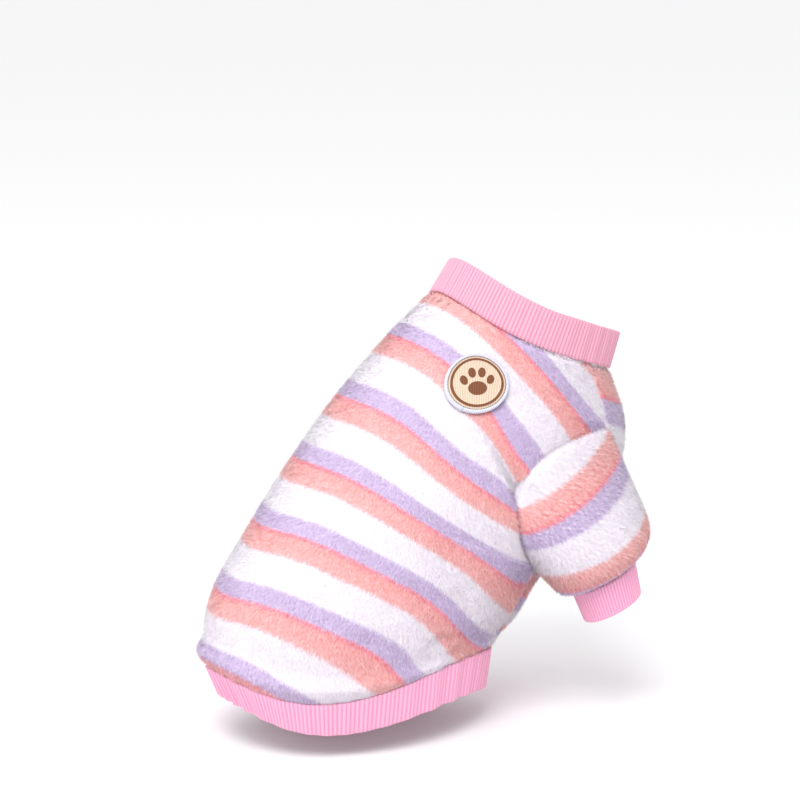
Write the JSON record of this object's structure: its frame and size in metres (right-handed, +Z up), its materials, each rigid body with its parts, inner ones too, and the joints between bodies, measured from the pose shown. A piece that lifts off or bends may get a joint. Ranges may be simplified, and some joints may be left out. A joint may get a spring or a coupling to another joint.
{
  "type": "pet fleece pullover",
  "caption": "Short-sleeved pullover of striped plush fleece for a small dog, as worn, with ribbed collar, cuffs and hem and a round patch on the shoulder.",
  "frame": {"origin": "inner face of the back panel on the spine at the withers, where the wearer holds the garment up", "axes": "+X towards the head, +Y the wearer's left, +Z up"},
  "size_m": [0.2699, 0.1768, 0.2562],
  "materials": {
    "back_fleece": "short plush nap",
    "chest_fleece": "short plush nap",
    "right_sleeve_fleece": "short plush nap",
    "left_sleeve_fleece": "short plush nap",
    "right_cuff_rib": "1x1 rib knit",
    "left_cuff_rib": "1x1 rib knit",
    "collar_rib": "1x1 rib knit",
    "hem_rib": "1x1 rib knit",
    "patch_twill": "satin embroidery"
  },
  "bodies": {
    "root": {"back_panel": "back_fleece", "chest_panel": "chest_fleece", "sleeve_right": "right_sleeve_fleece", "sleeve_left": "left_sleeve_fleece", "cuff_right": "right_cuff_rib", "cuff_left": "left_cuff_rib", "collar": "collar_rib", "hem_band": "hem_rib", "patch": "patch_twill"}
  },
  "joints": []
}
